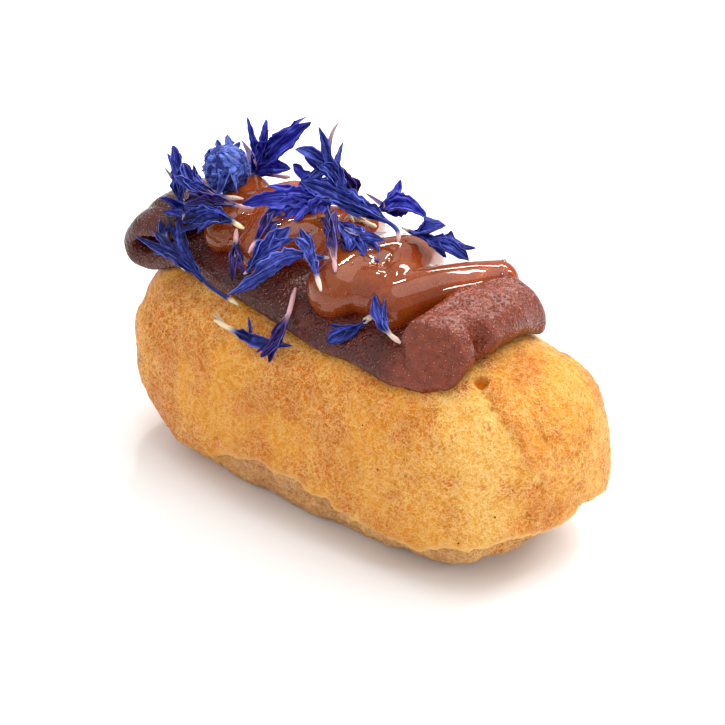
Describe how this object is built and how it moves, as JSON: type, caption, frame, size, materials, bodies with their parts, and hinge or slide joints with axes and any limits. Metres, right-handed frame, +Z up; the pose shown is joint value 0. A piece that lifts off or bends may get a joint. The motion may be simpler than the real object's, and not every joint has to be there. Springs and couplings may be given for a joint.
{
  "type": "mini eclair",
  "caption": "Small glazed choux pastry with a folded chocolate ribbon on top, a zigzag of amber gel and scattered dried blue flower florets.",
  "frame": {"origin": "middle of the flat foot of the bun, on the surface it stands on", "axes": "+X along the eclair towards the end where the ribbon is folded back, +Y across it to the far side, +Z up"},
  "size_m": [0.0716, 0.0336, 0.0464],
  "materials": {
    "choux": "baked choux crust, golden and mottled, slightly glossy",
    "chocolate": "milk chocolate ribbon, satin, finely speckled",
    "gel": "clear amber jelly with small bubbles, wet gloss",
    "petal": "dried blue flower petals, matt and veined"
  },
  "bodies": {
    "root": {"choux_bun": "choux", "chocolate_ribbon": "chocolate", "gel": "gel", "floret_ball": "petal", "floret_upright_left": "petal", "floret_curl_left": "petal", "floret_dark_across": "petal", "floret_dark_under": "petal", "floret_edge_long": "petal", "floret_edge_tube": "petal", "floret_big_fan": "petal", "floret_back_tube": "petal", "floret_centre_bright": "petal", "floret_tall": "petal", "floret_fan_left": "petal", "floret_lean_right": "petal", "floret_long_back": "petal", "floret_long_right": "petal", "floret_fan_right": "petal", "floret_cream_bulb": "petal", "floret_dark_blue": "petal", "floret_upright_dark": "petal", "floret_hanging": "petal", "floret_purple": "petal", "floret_wide_blue": "petal", "floret_blade": "petal", "floret_bud": "petal", "floret_edge_drop": "petal", "floret_on_crust": "petal", "floret_front_grey": "petal", "floret_front_right": "petal"}
  },
  "joints": []
}
